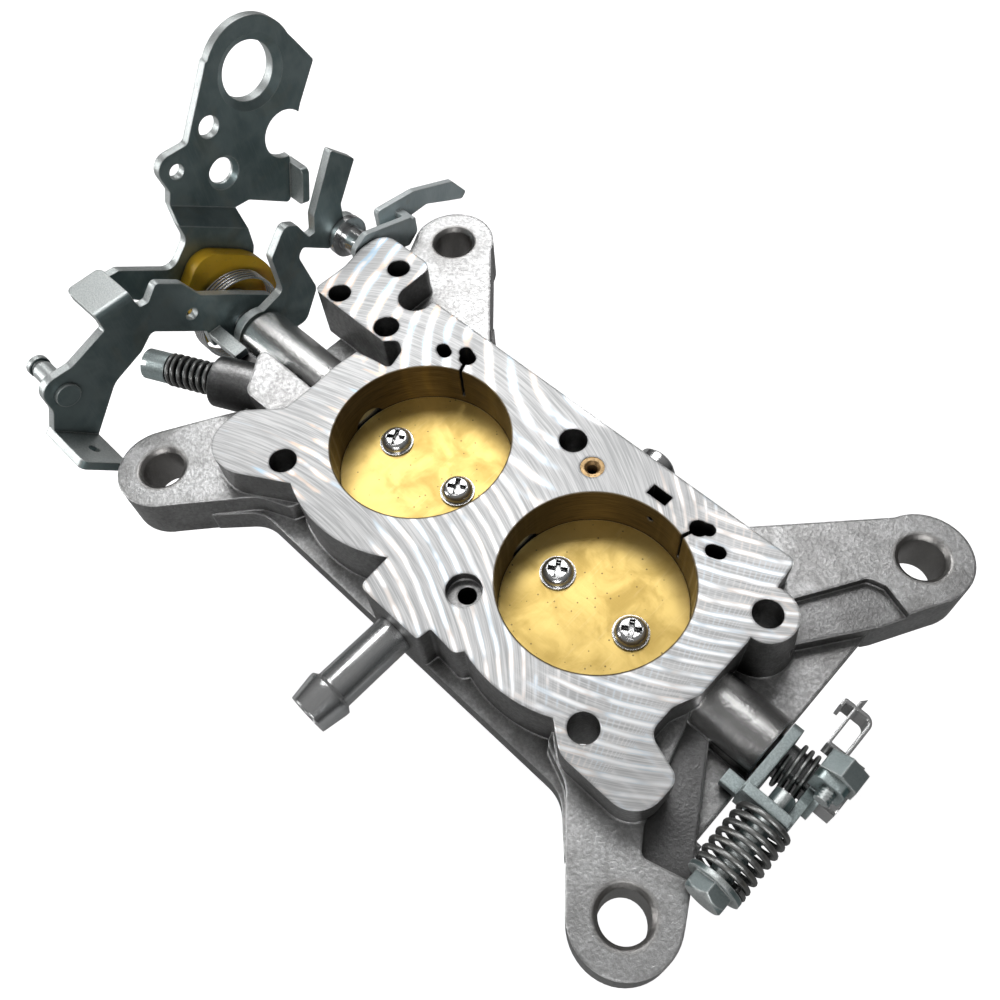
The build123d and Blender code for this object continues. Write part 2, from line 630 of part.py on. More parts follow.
def pickup_lever():
    """Upright lever that turns on the shaft by itself and carries the choke link pin."""
    face = outline([
        (32.4, 40.8, 0.6), (23.4, 27.8, 1.0), (22.4, 23.4, 0.5), (20.6, 23.4, 0.5),
        (18.6, 28.4, 2.0), (15.4, 30.4, 2.0), (9.6, 24.6, 2.0), (9.6, 14.0, 2.0),
        (3.0, 12.4, 0), (-2.0, 9.0, 0), (2.0, 1.6, 0), (13.0, 0.6, 3.0),
        (18.6, 8.0, 3.0), (16.4, 20.0, 2.0), (18.2, 21.8, 1.0), (25.0, 16.4, 0),
        (31.0, 20.0, 0), (31.4, 26.0, 1.5), (38.0, 35.0, 0.6)])
    face += disc(0, AXIS_Z, 6.0)
    face += disc(PIN_Y, PIN_Z, 5.0)
    plate = lever_plate(face, PICKUP_X, PICKUP_T)
    plate -= rod_x(SHAFT_R + SHAFT_GAP, PICKUP_X - 5, PICKUP_X + 5)
    return plate - rod_x(2.0, PICKUP_X - 5, PICKUP_X + 5, PIN_Y, PIN_Z)


def link_pin():
    """Shouldered pin riveted in the pickup lever."""
    pin = rod_x(2.0, PICKUP_X - PICKUP_T, PICKUP_X, PIN_Y, PIN_Z)
    pin += rod_x(5.2, PICKUP_X, PICKUP_X + 1.6, PIN_Y, PIN_Z)
    pin += rod_x(3.2, PICKUP_X + 1.6, LINK_X - LINK_T - 0.1, PIN_Y, PIN_Z)
    return pin + rod_x(1.6, LINK_X - LINK_T - 0.1, LINK_X + 0.4, PIN_Y, PIN_Z)


def link_lever():
    """Small stepped lever: a plate on the pin, a bridge outwards and a long finger."""
    near = outline([
        (26.6, 19.4, 2.0), (31.0, 21.6, 2.0), (45.0, 17.2, 1.0), (46.4, 12.0, 1.5),
        (43.0, 9.4, 1.0), (33.0, 12.6, 3.0), (27.0, 13.6, 2.0)])
    finger = outline([
        (38.6, 20.4, 1.0), (50.6, 18.8, 3.0), (63.4, 13.4, 2.0), (67.6, 7.4, 0.8),
        (66.0, 6.0, 0.8), (61.0, 8.6, 2.0), (54.0, 12.4, 2.0), (38.6, 12.6, 1.0)])
    plate = lever_plate(near, LINK_X, LINK_T)
    plate += lever_plate(finger, FINGER_X, LINK_T)
    bridge = outline([(44.0, 16.9, 0), (46.2, 16.2, 0), (46.2, 12.9, 0), (44.0, 12.9, 0)])
    plate += lever_plate(bridge, LINK_X, LINK_X - FINGER_X + LINK_T)
    return plate - rod_x(1.6 + SHAFT_GAP, LINK_X - 5, LINK_X + 5, PIN_Y, PIN_Z)


# ---------------------------------------------------------------- idle stop screw
def idle_screw():
    seat = IDLE_HEAD + IDLE_DIRECTION * IDLE_HEAD_LENGTH
    screw = rod(IDLE_HEAD_R, IDLE_HEAD, seat)
    screw += rod(IDLE_SHANK_R, seat, IDLE_HEAD + IDLE_DIRECTION * 31.0)
    slot_plane = Plane(origin=IDLE_HEAD, z_dir=IDLE_DIRECTION)
    return screw - slot_plane * Rot(0, 0, 35) * Box(1.2, 12, 2.8)


def idle_spring():
    start = IDLE_HEAD + IDLE_DIRECTION * (IDLE_HEAD_LENGTH + 0.7)
    end = IDLE_HEAD + IDLE_DIRECTION * (19.0 - 0.7)
    return coil(3.4, 0.55, start, end, 5.5)


# ---------------------------------------------------------------- fast idle lever, right end
def fast_idle_lever():
    """U-shaped lever on the shaft with a leg for the fast idle screw."""
    inner = outline([
        (LEG_Y, 16.4, 2.0), (LEG_Y, 9.0, 1.0), (-6.0, 1.4, 4.0), (5.4, 1.4, 4.0),
        (5.4, 13.2, 2.0)])
    outer = outline([
        (LEG_Y, 16.4, 2.0), (LEG_Y, 9.6, 1.0), (-6.0, 1.4, 4.0), (5.4, 1.4, 4.0),
        (5.0, 12.4, 2.0), (-2.6, 12.4, 1.0), (-6.0, 14.6, 1.0)])
    lever = lever_plate(inner, FAST_INNER + FAST_CHEEK, FAST_CHEEK)
    lever += lever_plate(outer, FAST_OUTER, FAST_OUTER_T)
    leg = box((FAST_INNER + 0.5, LEG_Y, 10.0), (FAST_OUTER - 0.5, LEG_Y + LEG_T, 18.6))
    lever += leg
    lever += box((63.4, -11.2, 7.2), (FAST_INNER + 0.5, -8.2, 9.4))
    lug = box((74.8, NUT_LOW - 1.8, 13.0), (80.8, NUT_LOW, 19.2))
    lever += fillet(lug.edges().filter_by(Axis.Y).group_by(Axis.Z)[-1], 1.6)
    lever += box((FAST_OUTER - FAST_OUTER_T, NUT_LOW - 1.8, 11.4), (FAST_OUTER, NUT_LOW, 13.2))
    lever -= rod_y(FAST_SHANK_R + SHAFT_GAP, LEG_Y - 1, LEG_Y + LEG_T + 1, FAST_X, FAST_Z)
    lever -= rod_y(CLAMP_R, NUT_LOW - 3, NUT_LOW + 1, CLAMP_X, CLAMP_Z)
    lever -= double_d_hole(FAST_INNER + FAST_CHEEK, FAST_CHEEK)
    return lever - double_d_hole(FAST_OUTER, FAST_OUTER_T)


def fast_idle_screw():
    flange = FAST_SEAT_Y - 1.0
    head = hexagon(7.0, (FAST_X, FAST_HEAD_Y, FAST_Z), (FAST_X, flange, FAST_Z))
    head &= taper_rod(3.2, 6.2, (FAST_X, FAST_HEAD_Y, FAST_Z), (FAST_X, flange, FAST_Z))
    screw = head + rod_y(5.0, flange, FAST_SEAT_Y, FAST_X, FAST_Z)
    return screw + rod_y(FAST_SHANK_R, FAST_SEAT_Y, FAST_TIP_Y, FAST_X, FAST_Z)


def fast_idle_spring():
    start = (FAST_X, FAST_SEAT_Y + 0.6, FAST_Z)
    end = (FAST_X, LEG_Y - 0.6, FAST_Z)
    return coil(4.7, 0.48, start, end, 6.5)


def clamp_stud():
    """Short threaded stud in the lug of the fast idle lever."""
    return rod_y(CLAMP_R, -4.8, NUT_HIGH + CLIP_T, CLAMP_X, CLAMP_Z)


def clamp_nut():
    nut = hexagon(7.0, (CLAMP_X, NUT_LOW, CLAMP_Z), (CLAMP_X, NUT_HIGH, CLAMP_Z))
    return nut - rod_y(CLAMP_R, NUT_LOW - 1, NUT_HIGH + 1, CLAMP_X, CLAMP_Z)


def spring_clip():
    """Thin strip folded into a stirrup, held by the clamp stud."""
    low, high = 13.9, 18.7
    hook, left, right, tab = 71.0, 73.2, 77.3, 80.4
    near, far = NUT_HIGH, 12.4
    outside = outline([(hook, near, 0), (right, near, 0), (right, far, 2.0), (hook, far, 0.6)])
    inside = outline([
        (hook - 1, near + CLIP_T, 0), (right - CLIP_T, near + CLIP_T, 0),
        (right - CLIP_T, far - CLIP_T, 1.3), (hook + CLIP_T, far - CLIP_T, 0.2),
        (hook + CLIP_T, far - 1.8, 0), (hook - 1, far - 1.8, 0)])
    outside -= Pos(hook, near) * Rectangle(2 * (left - hook), 4 * CLIP_T)
    tongue = outline([
        (left, near, 0), (left + 0.6, near, 0), (left + 0.6, far + 0.8, 0),
        (left + 1.0, far + 2.2, 0), (left, far + 1.0, 0)])
    base = outline([
        (right - 1, near, 0), (tab, near, 0), (tab, near + CLIP_T, 0), (right - 1, near + CLIP_T, 0)])
    clip = prism(outside - inside + tongue + base, low, high)
    return clip - rod_y(CLAMP_R, near - 1, near + 2, CLAMP_X, CLAMP_Z)


def fast_torsion_spring():
    start = (FAST_INNER + FAST_CHEEK + 0.75, 0, AXIS_Z)
    end = (FAST_OUTER - FAST_OUTER_T - 0.75, 0, AXIS_Z)
    return coil(4.6, 0.4, start, end, 3.5)


def end_clip():
    """Washer-shaped retainer at the right end of the shaft."""
    ring = rod_x(5.6, FAST_OUTER, FAST_OUTER + 1.2)
    ring -= rod_x(SHAFT_R + 0.02, FAST_OUTER - 1, FAST_OUTER + 3)
    return ring


PARTS = {
    "throttle_body": throttle_body,
    "shaft_bush": shaft_bush,
    "air_bleed": air_bleed,
    "hose_barb": hose_barb,
    "side_plug": side_plug,
    "throttle_shaft": throttle_shaft,
    "throttle_plate": throttle_plate,
    "plate_screw": plate_screw,
    "throttle_lever": throttle_lever,
    "kickdown_lever": kickdown_lever,
    "lever_stud": lever_stud,
    "pump_cam": pump_cam,
    "cam_screw": cam_screw,
    "lever_spacer": lever_spacer,
    "lever_spring": lever_spring,
    "lever_washer": lever_washer,
    "shaft_nut": shaft_nut,
    "pickup_lever": pickup_lever,
    "link_pin": link_pin,
    "link_lever": link_lever,
    "idle_screw": idle_screw,
    "idle_spring": idle_spring,
    "fast_idle_lever": fast_idle_lever,
    "fast_idle_screw": fast_idle_screw,
    "fast_idle_spring": fast_idle_spring,
    "clamp_stud": clamp_stud,
    "clamp_nut": clamp_nut,
    "spring_clip": spring_clip,
    "fast_torsion_spring": fast_torsion_spring,
    "end_clip": end_clip,
}

os.makedirs("parts", exist_ok=True)
for name, make in PARTS.items():
    export_step(make(), f"parts/{name}.step")
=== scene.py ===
import json
from math import cos, pi, sin

import bpy
from mathutils import Matrix, Vector


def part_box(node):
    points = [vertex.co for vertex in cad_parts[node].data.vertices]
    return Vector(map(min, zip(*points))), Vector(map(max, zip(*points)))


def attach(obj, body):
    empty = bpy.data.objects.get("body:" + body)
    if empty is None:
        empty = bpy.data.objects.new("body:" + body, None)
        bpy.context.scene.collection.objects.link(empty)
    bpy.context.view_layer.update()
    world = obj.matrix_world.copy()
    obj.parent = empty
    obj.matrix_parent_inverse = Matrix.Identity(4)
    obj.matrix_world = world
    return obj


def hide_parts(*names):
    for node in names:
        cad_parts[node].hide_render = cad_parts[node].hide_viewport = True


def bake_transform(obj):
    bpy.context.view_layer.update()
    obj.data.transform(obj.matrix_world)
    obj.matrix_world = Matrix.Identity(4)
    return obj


# Twin-bore throttle body: studio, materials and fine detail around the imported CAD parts.
# The frame is in metres; lengths named here are in millimetres unless they say otherwise.

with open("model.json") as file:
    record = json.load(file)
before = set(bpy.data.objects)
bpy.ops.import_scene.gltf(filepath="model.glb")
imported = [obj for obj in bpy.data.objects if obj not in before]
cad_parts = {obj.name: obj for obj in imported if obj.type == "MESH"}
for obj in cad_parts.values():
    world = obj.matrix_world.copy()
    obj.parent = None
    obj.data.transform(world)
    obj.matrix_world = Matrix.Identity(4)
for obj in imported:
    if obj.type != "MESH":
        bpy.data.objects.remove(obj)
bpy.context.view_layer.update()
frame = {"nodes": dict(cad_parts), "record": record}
MM = 0.001

TOP_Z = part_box("throttle_body")[1][2] / MM
BORE_X = 24.05
BORE_R = 19.05
STUD_X = 65.88
STUD_Y = 44.875
STUD_CENTRE_Y = 4.85
STUD_HOLE_R = 5.2             # the painted shade inside the hole fades out from here to the rim
STUD_RIM_R = 6.3
AXIS_Z = 7.2
TUBE_R = 7.0                  # machined tubes around the shaft
TUBE_START_X = 50.0
MILL_R = 75.0                 # sweep of the face mill that left the arcs on the top face
MILL_LEFT_X = -25.0
MILL_RIGHT_X = 11.0
MILL_PITCH = 3.0
TURN_CENTRE = (-3.0, 48.0)    # second sweep, seen behind the left bore and on the bracket boss
TURN_PITCH = 4.6
ARM_Z = 11.3                  # top of the mounting arms
PANEL_DEPTH = 2.0             # sunk panels in the tops of the right arms
IDLE_HEAD = Vector((-93.2, -24.6, 10.5))
IDLE_WAY = Vector((0.905154, 0.425072, 0.0))
IDLE_SPRING = (6.1, 18.9)     # ends of the spring and the thread, measured from the head
IDLE_THREAD = (6.6, 15.6)
FAST_X = 73.4
FAST_Z = 15.8
FAST_SPRING = (-26.35, -12.65)    # the same for the fast idle screw, along Y
FAST_THREAD = (-25.8, -16.2)
CLAMP_X = 78.2
CLAMP_Z = 16.9
CLAMP_THREAD = (-4.6, -2.8)
FLOOR_DROP = 40.0             # below the mounting face, clear of the levers when they swing
LENS = 34.59
SENSOR = 36
CAMERA_PLACE = (0.07406, -0.06293, 0.18355)    # metres
CAMERA_RIGHT = (0.717, 0.6943, -0.0613)
CAMERA_FORWARD = (-0.3939, 0.3311, -0.8575)
SOFTBOXES = (                 # name, place and size in metres, power in watts
    ("key", (-0.42, 0.36, 0.80), 0.60, 0.45, 4.2),
    ("front", (0.50, -0.60, 0.55), 0.45, 0.25, 2.6),
    ("side", (-0.60, -0.55, 0.35), 0.15, 0.60, 2.4),
)


# ---------------------------------------------------------------- node trees
class Net:
    """A material under construction; each method adds a node and returns its output."""

    def __init__(self, name):
        self.material = bpy.data.materials.new(name)
        self.material.use_nodes = True
        self.nodes = self.material.node_tree.nodes
        self.links = self.material.node_tree.links
        self.shader = self.nodes["Principled BSDF"]
        self.coordinates = self.nodes.new("ShaderNodeTexCoord").outputs["Object"]
        self.geometry = self.nodes.new("ShaderNodeNewGeometry")

    def put(self, socket, value):
        if isinstance(value, bpy.types.NodeSocket):
            self.links.new(value, socket)
        else:
            socket.default_value = value

    def finish(self, **inputs):
        for name, value in inputs.items():
            self.put(self.shader.inputs[name.replace("_", " ")], value)
        return self.material

    def math(self, operation, a, b=0.0):
        node = self.nodes.new("ShaderNodeMath")
        node.operation = operation
        self.put(node.inputs[0], a)
        self.put(node.inputs[1], b)
        return node.outputs[0]

    def vector(self, operation, a, b):
        node = self.nodes.new("ShaderNodeVectorMath")
        node.operation = operation
        self.put(node.inputs[0], a)
        self.put(node.inputs[1], b)
        return node.outputs["Value" if operation in ("DOT_PRODUCT", "LENGTH") else "Vector"]

    def ramp(self, value, start, end, low=0.0, high=1.0):
        """Smooth step from low to high while the value goes from start to end."""
        node = self.nodes.new("ShaderNodeMapRange")
        node.interpolation_type = "SMOOTHSTEP"
        for name, setting in (("Value", value), ("From Min", start), ("From Max", end),
                              ("To Min", low), ("To Max", high)):
            self.put(node.inputs[name], setting)
        return node.outputs["Result"]

    def mix(self, factor, a, b):
        node = self.nodes.new("ShaderNodeMix")
        node.data_type = "RGBA"
        self.put(node.inputs[0], factor)
        self.put(node.inputs[6], a)
        self.put(node.inputs[7], b)
        return node.outputs[2]

    def blend(self, factor, a, b):
        node = self.nodes.new("ShaderNodeMix")
        self.put(node.inputs[0], factor)
        self.put(node.inputs[2], a)
        self.put(node.inputs[3], b)
        return node.outputs[0]

    def split(self, vector):
        node = self.nodes.new("ShaderNodeSeparateXYZ")
        self.put(node.inputs[0], vector)
        return node.outputs

    def join(self, x, y, z):
        node = self.nodes.new("ShaderNodeCombineXYZ")
        for socket, value in zip(node.inputs, (x, y, z)):
            self.put(socket, value)
        return node.outputs[0]

    def place(self, scale=(1, 1, 1), turn=(0, 0, 0)):
        """Object position in millimetres, stretched or turned."""
        node = self.nodes.new("ShaderNodeMapping")
        self.put(node.inputs["Vector"], self.coordinates)
        node.inputs["Rotation"].default_value = turn
        node.inputs["Scale"].default_value = [s / MM for s in scale]
        return node.outputs[0]

    def noise(self, where, scale, detail=3.0, rough=0.55, warp=0.0):
        node = self.nodes.new("ShaderNodeTexNoise")
        for name, value in (("Vector", where), ("Scale", scale), ("Detail", detail),
                            ("Roughness", rough), ("Distortion", warp)):
            self.put(node.inputs[name], value)
        return node.outputs[0]

    def specks(self, where, scale, size):
        """Sparse round spots, 1 inside and 0 outside."""
        node = self.nodes.new("ShaderNodeTexVoronoi")
        self.put(node.inputs["Vector"], where)
        self.put(node.inputs["Scale"], scale)
        return self.ramp(node.outputs["Distance"], size, size * 0.5)

    def round_edges(self, radius):
        node = self.nodes.new("ShaderNodeBevel")
        node.samples = 4
        node.inputs["Radius"].default_value = radius * MM
        return node.outputs[0]

    def painted_edge_highlight(self, radius, threshold=0.04):
        """Mask for painted edge highlights: 1 along outside and inside edges, 0 on flat faces."""
        agreement = self.vector("DOT_PRODUCT", self.round_edges(radius), self.geometry.outputs["Normal"])
        return self.ramp(agreement, 1.0 - threshold, 1.0 - 4 * threshold)

    # painted shade: 1 on open faces, falling to 0 in corners and recesses, from ambient occlusion
    def painted_crevice_shade(self, distance):
        node = self.nodes.new("ShaderNodeAmbientOcclusion")
        node.samples = 4
        node.inputs["Distance"].default_value = distance * MM
        return self.ramp(node.outputs["AO"], 0.25, 0.85)

    def bump(self, height, depth, normal):
        node = self.nodes.new("ShaderNodeBump")
        self.put(node.inputs["Height"], height)
        node.inputs["Distance"].default_value = depth * MM
        self.put(node.inputs["Normal"], normal)
        return node.outputs[0]


def grey(value, warmth=0.0):
    return (value * (1 + warmth), value, value * (1 - warmth), 1)


# ---------------------------------------------------------------- materials
def around(net, x, y, spot, inner, outer):
    """1 inside a round area of the top face, fading to 0."""
    away = net.join(net.math("SUBTRACT", x, spot[0]), net.math("SUBTRACT", y, spot[1]), 0.0)
    return net.ramp(net.vector("LENGTH", away, (0, 0, 0)), outer, inner)


def painted_highlight_band(net, across, pitch, drift, sharpness):
    """Painted highlight: bright thin bands that repeat across the cutter marks."""
    phase = net.math("ADD", net.math("MULTIPLY", across, 2 * pi / pitch), net.math("MULTIPLY", drift, 6.0))
    wave = net.math("MULTIPLY", net.math("ADD", net.math("COSINE", phase), 1.0), 0.5)
    return net.math("POWER", wave, sharpness)


def milling(net):
    """Arc-shaped cutter marks: painted highlight bands along them, fine lines, and the way they run."""
    x, y = net.split(net.place())[:2]
    drift = net.noise(net.place(), 0.05, 2.0)
    break_up = net.ramp(net.noise(net.place(), 0.16, 2.0), 0.3, 0.55, 0.25, 1.0)
    highlight_bands = []
    lines = []
    ways = []
    for centre, sign in ((MILL_LEFT_X, -1.0), (MILL_RIGHT_X, 1.0)):
        away = net.math("SUBTRACT", x, centre)
        rest = net.math("SUBTRACT", MILL_R ** 2, net.math("MULTIPLY", away, away))
        sag = net.math("SQRT", net.math("MAXIMUM", rest, 0.0))
        across = net.math("ADD", y, net.math("MULTIPLY", sag, sign))
        highlight_bands.append(painted_highlight_band(net, across, MILL_PITCH, drift, 3.5))
        lines.append(net.noise(net.join(across, net.math("MULTIPLY", x, 0.03), 0.0), 2.4, 2.0, 0.7))
        ways.append(net.join(sag, net.math("MULTIPLY", away, sign), 0.0))
    turn = net.join(net.math("SUBTRACT", x, TURN_CENTRE[0]), net.math("SUBTRACT", y, TURN_CENTRE[1]), 0.0)
    swept = painted_highlight_band(net, net.vector("LENGTH", turn, (0, 0, 0)), TURN_PITCH, drift, 3.0)
    rear = net.math("MULTIPLY", net.ramp(y, 2.0, 9.0), net.ramp(x, 22.0, 8.0))
    first = net.blend(rear, highlight_bands[0], swept)
    second = net.ramp(x, 22.0, 38.0)
    crossing = net.math("MAXIMUM", net.math("MULTIPLY", highlight_bands[1], second),
                        net.math("MULTIPLY", first, net.ramp(second, 0.0, 1.0, 1.0, 0.25)))
    plain = net.math("MAXIMUM", around(net, x, y, (11.0, 19.0), 8.0, 15.0),
                     around(net, x, y, (-22.0, -26.0), 6.0, 13.0))
    lobe = net.math("MULTIPLY", net.ramp(x, -38.0, -46.0), net.ramp(y, 8.0, 2.0))
    plain = net.math("MAXIMUM", plain, net.math("MULTIPLY", lobe, 0.85))
    bands = net.math("MULTIPLY", net.math("MULTIPLY", crossing, break_up), net.math("SUBTRACT", 1.0, plain))
    fine = net.blend(second, lines[0], lines[1])
    return bands, fine, net.mix(second, ways[0], ways[1])


def cast_aluminium():
    net = Net("cast_aluminium")
    x, y, z = net.split(net.place())
    upward = net.split(net.geometry.outputs["True Normal"])[2]
    top = net.math("MULTIPLY", net.ramp(z, TOP_Z - 0.3, TOP_Z - 0.1), net.ramp(upward, 0.6, 0.9))
    bottom = net.math("MULTIPLY", net.ramp(z, 0.3, 0.1), net.ramp(upward, -0.6, -0.9))

    bore_x = net.math("SUBTRACT", net.math("ABSOLUTE", x), BORE_X)
    bore_d = net.math("SQRT", net.math("ADD", net.math("MULTIPLY", bore_x, bore_x),
                                       net.math("MULTIPLY", y, y)))
    bore = net.ramp(bore_d, BORE_R + 0.4, BORE_R + 0.1)
    stud_x = net.math("SUBTRACT", net.math("ABSOLUTE", x), STUD_X)
    stud_y = net.math("SUBTRACT", net.math("ABSOLUTE", net.math("SUBTRACT", y, STUD_CENTRE_Y)), STUD_Y)
    stud_d = net.math("SQRT", net.math("ADD", net.math("MULTIPLY", stud_x, stud_x),
                                       net.math("MULTIPLY", stud_y, stud_y)))
    hole = net.ramp(stud_d, STUD_RIM_R, STUD_HOLE_R)
    from_axis = net.join(0.0, y, net.math("SUBTRACT", z, AXIS_Z))
    tube_d = net.math("SUBTRACT", net.vector("LENGTH", from_axis, (0, 0, 0)), TUBE_R)
    tube = net.math("MULTIPLY", net.ramp(net.math("ABSOLUTE", tube_d), 0.25, 0.15),
                    net.ramp(net.math("ABSOLUTE", x), TUBE_START_X, TUBE_START_X + 1.0))

    # casting skin
    skin = net.noise(net.place(), 1.3, 5.0, 0.7)
    patches = net.noise(net.place(), 0.10, 4.0, 0.6, 0.5)
    bright = net.specks(net.place(), 1.6, 0.16)
    cast = net.mix(net.ramp(skin, 0.35, 0.68), grey(0.46), grey(0.72))
    cast = net.mix(net.ramp(patches, 0.4, 0.65, 0.0, 0.55), cast, grey(0.24, 0.02))
    cast = net.mix(net.math("MULTIPLY", bright, 0.2), cast, grey(0.9))
    # painted shade: faces turned away from up are darkened towards near-black
    shaded_flank = net.ramp(upward, 0.75, 0.2)
    cast = net.mix(net.math("MULTIPLY", shaded_flank, 0.58), cast, grey(0.10))
    cast = net.mix(tube, cast, grey(0.72, 0.01))
    # painted shade: the region by the idle boss, beneath the levers, darkened nearly to black
    shade_under_levers = net.math("MULTIPLY", net.ramp(x, -60.0, -64.0), net.ramp(z, 17.0, 15.5))
    behind = net.math("MULTIPLY", net.ramp(y, -5.0, -8.0), net.ramp(y, -24.0, -21.0))
    shade_under_levers = net.math("MULTIPLY", shade_under_levers, behind)
    cast = net.mix(net.math("MULTIPLY", shade_under_levers, 0.8), cast, grey(0.05))
    # painted shade: the floors of the sunk panels in the right arms darkened, more towards -Y
    panel_z = net.math("ABSOLUTE", net.math("SUBTRACT", z, ARM_Z - PANEL_DEPTH))
    panel = net.math("MULTIPLY", net.ramp(panel_z, 0.2, 0.1), net.ramp(x, 49.0, 51.0))
    cast = net.mix(net.math("MULTIPLY", panel, net.ramp(y, 4.0, -4.0, 0.45, 0.85)), cast, grey(0.12))
    # painted shade: the stud-hole walls a darker grey
    cast = net.mix(hole, cast, grey(0.36, 0.03))
    # painted shade in corners and recesses
    cast = net.mix(net.painted_crevice_shade(5.0), grey(0.05, 0.04), cast)
    # painted highlight along the edges
    cast = net.mix(net.math("MULTIPLY", net.painted_edge_highlight(0.6), 0.55), cast, grey(0.85))

    # milled top face
    bands, lines, way = milling(net)
    milled = net.mix(net.ramp(lines, 0.3, 0.7), grey(0.44, -0.01), grey(0.72))
    # painted highlight: near-white bands across the cutter marks
    milled = net.mix(bands, milled, grey(1.0, -0.01))
    # painted iridescent sheen along the edges of the highlight bands, stronger towards -X
    sheen = net.noise(net.place(), 0.08, 2.0, 0.5, 1.0)
    tint = net.mix(net.ramp(sheen, 0.4, 0.6), (1.0, 0.72, 0.52, 1), (0.48, 0.76, 1.0, 1))
    fringe = net.math("MULTIPLY", net.ramp(bands, 0.1, 0.3), net.ramp(bands, 0.7, 0.4))
    milled = net.mix(net.math("MULTIPLY", fringe, net.ramp(x, -10.0, -50.0, 0.2, 0.6)), milled, tint)

    # bored walls: painted reflection and shade, dark golden-brown with turning marks
    turned = net.noise(net.place((0.05, 0.05, 1.0)), 3.5, 2.0)
    wall = net.mix(turned, (0.05, 0.035, 0.018, 1), (0.27, 0.20, 0.10, 1))

    color = net.mix(net.math("MAXIMUM", top, bottom), cast, milled)
    color = net.mix(bore, color, wall)
    machined = net.math("MAXIMUM", net.math("MAXIMUM", top, bore), bottom)
    skin_rough = net.blend(tube, net.ramp(skin, 0.3, 0.7, 0.42, 0.31), 0.22)
    rough = net.blend(machined, skin_rough, net.ramp(bands, 0.0, 1.0, 0.50, 0.36))
    depth = net.blend(machined, skin, net.math("MULTIPLY", lines, 0.16))
    normal = net.bump(depth, 0.09, net.round_edges(0.8))
    return net.finish(Base_Color=color, Metallic=net.blend(top, 0.95, 0.6), Roughness=rough,
                      Normal=normal, Anisotropic=net.math("MULTIPLY", top, 0.6), Tangent=way)


def brass():
    net = Net("brass")
    across = net.noise(net.place((1.0, 0.05, 1.0), (0, 0, 0.5)), 1.6, 3.0, 0.7)
    along = net.noise(net.place((0.04, 1.0, 1.0), (0, 0, 0.2)), 2.2, 3.0, 0.7)
    stain = net.noise(net.place(), 0.12, 4.0, 0.6, 0.6)
    spots = net.specks(net.place(), 0.55, 0.13)
    color = net.mix(net.ramp(stain, 0.35, 0.7), (0.74, 0.54, 0.18, 1), (0.60, 0.42, 0.12, 1))
    color = net.mix(net.ramp(across, 0.56, 0.72, 0.0, 0.12), color, (0.90, 0.76, 0.42, 1))
    color = net.mix(net.ramp(along, 0.6, 0.75, 0.0, 0.12), color, (0.50, 0.35, 0.11, 1))
    color = net.mix(net.math("MULTIPLY", spots, 0.8), color, (0.16, 0.11, 0.05, 1))
    # painted highlight along the edges
    color = net.mix(net.painted_edge_highlight(0.5), color, (0.98, 0.88, 0.55, 1))
    scratches = net.math("SUBTRACT", across, along)
    normal = net.bump(scratches, 0.02, net.round_edges(0.35))
    return net.finish(Base_Color=color, Metallic=0.8, Roughness=net.ramp(stain, 0.3, 0.7, 0.38, 0.48),
                      Normal=normal)


def bronze():
    net = Net("bronze")
    pores = net.specks(net.place(), 2.5, 0.3)
    tone = net.noise(net.place(), 0.5, 4.0)
    color = net.mix(tone, (0.30, 0.19, 0.09, 1), (0.60, 0.42, 0.22, 1))
    color = net.mix(net.math("MULTIPLY", pores, 0.6), color, (0.08, 0.05, 0.03, 1))
    normal = net.bump(net.math("SUBTRACT", tone, pores), 0.06, net.round_edges(0.3))
    return net.finish(Base_Color=color, Metallic=0.9, Roughness=net.ramp(tone, 0.3, 0.7, 0.55, 0.40),
                      Normal=normal)


def plated_steel(name, dark, light, edge, grain, shine, metal=0.7):
    """Rolled and stamped plate, its faces square to X, brighter where it was sheared, with a painted
    highlight along its edges.
    """
    net = Net(name)
    clouds = net.noise(net.place(), 0.14, 3.0, 0.5, 0.4)
    rolled = net.noise(net.place((1.0, 1.0, 0.08), (0.5, 0, 0)), 2.4, 3.0, 0.7)
    grit = net.noise(net.place(), 3.0, 3.0, 0.7)
    hue = net.noise(net.place(), 0.11, 2.0, 0.5, 1.0)
    facing = net.math("ABSOLUTE", net.split(net.geometry.outputs["True Normal"])[0])
    sheared = net.ramp(facing, 0.6, 0.3)
    color = net.mix(net.ramp(clouds, 0.3, 0.7, 0.15, 0.75), dark, light)
    color = net.mix(net.ramp(rolled, 0.45, 0.75, 0.0, 0.35), color, light)
    color = net.mix(net.ramp(hue, 0.56, 0.70, 0.0, 0.12), color, (0.34, 0.28, 0.16, 1))
    color = net.mix(net.math("MULTIPLY", sheared, net.ramp(grit, 0.3, 0.7, 0.55, 0.95)), color, edge)
    # painted shade in corners and recesses
    color = net.mix(net.painted_crevice_shade(2.0), grey(0.015), color)
    # painted highlight along the edges
    color = net.mix(net.painted_edge_highlight(0.45), color, edge)
    height = net.math("ADD", net.math("MULTIPLY", rolled, 0.4), grit)
    normal = net.bump(height, grain, net.round_edges(0.45))
    return net.finish(Base_Color=color, Metallic=metal, Normal=normal,
                      Roughness=net.ramp(clouds, 0.3, 0.7, shine + 0.08, shine))


def zinc_plate():
    return plated_steel("zinc_plate", (0.15, 0.205, 0.21, 1), (0.31, 0.38, 0.385, 1),
                        (0.80, 0.83, 0.82, 1), 0.05, 0.34)


def dark_plating():
    return plated_steel("dark_plating", (0.05, 0.10, 0.105, 1), (0.24, 0.34, 0.345, 1),
                        (0.66, 0.74, 0.74, 1), 0.05, 0.30)


def bright_plating():
    return plated_steel("bright_plating", (0.60, 0.62, 0.63, 1), (0.85, 0.86, 0.86, 1),
                        (0.92, 0.92, 0.92, 1), 0.02, 0.12, 0.9)


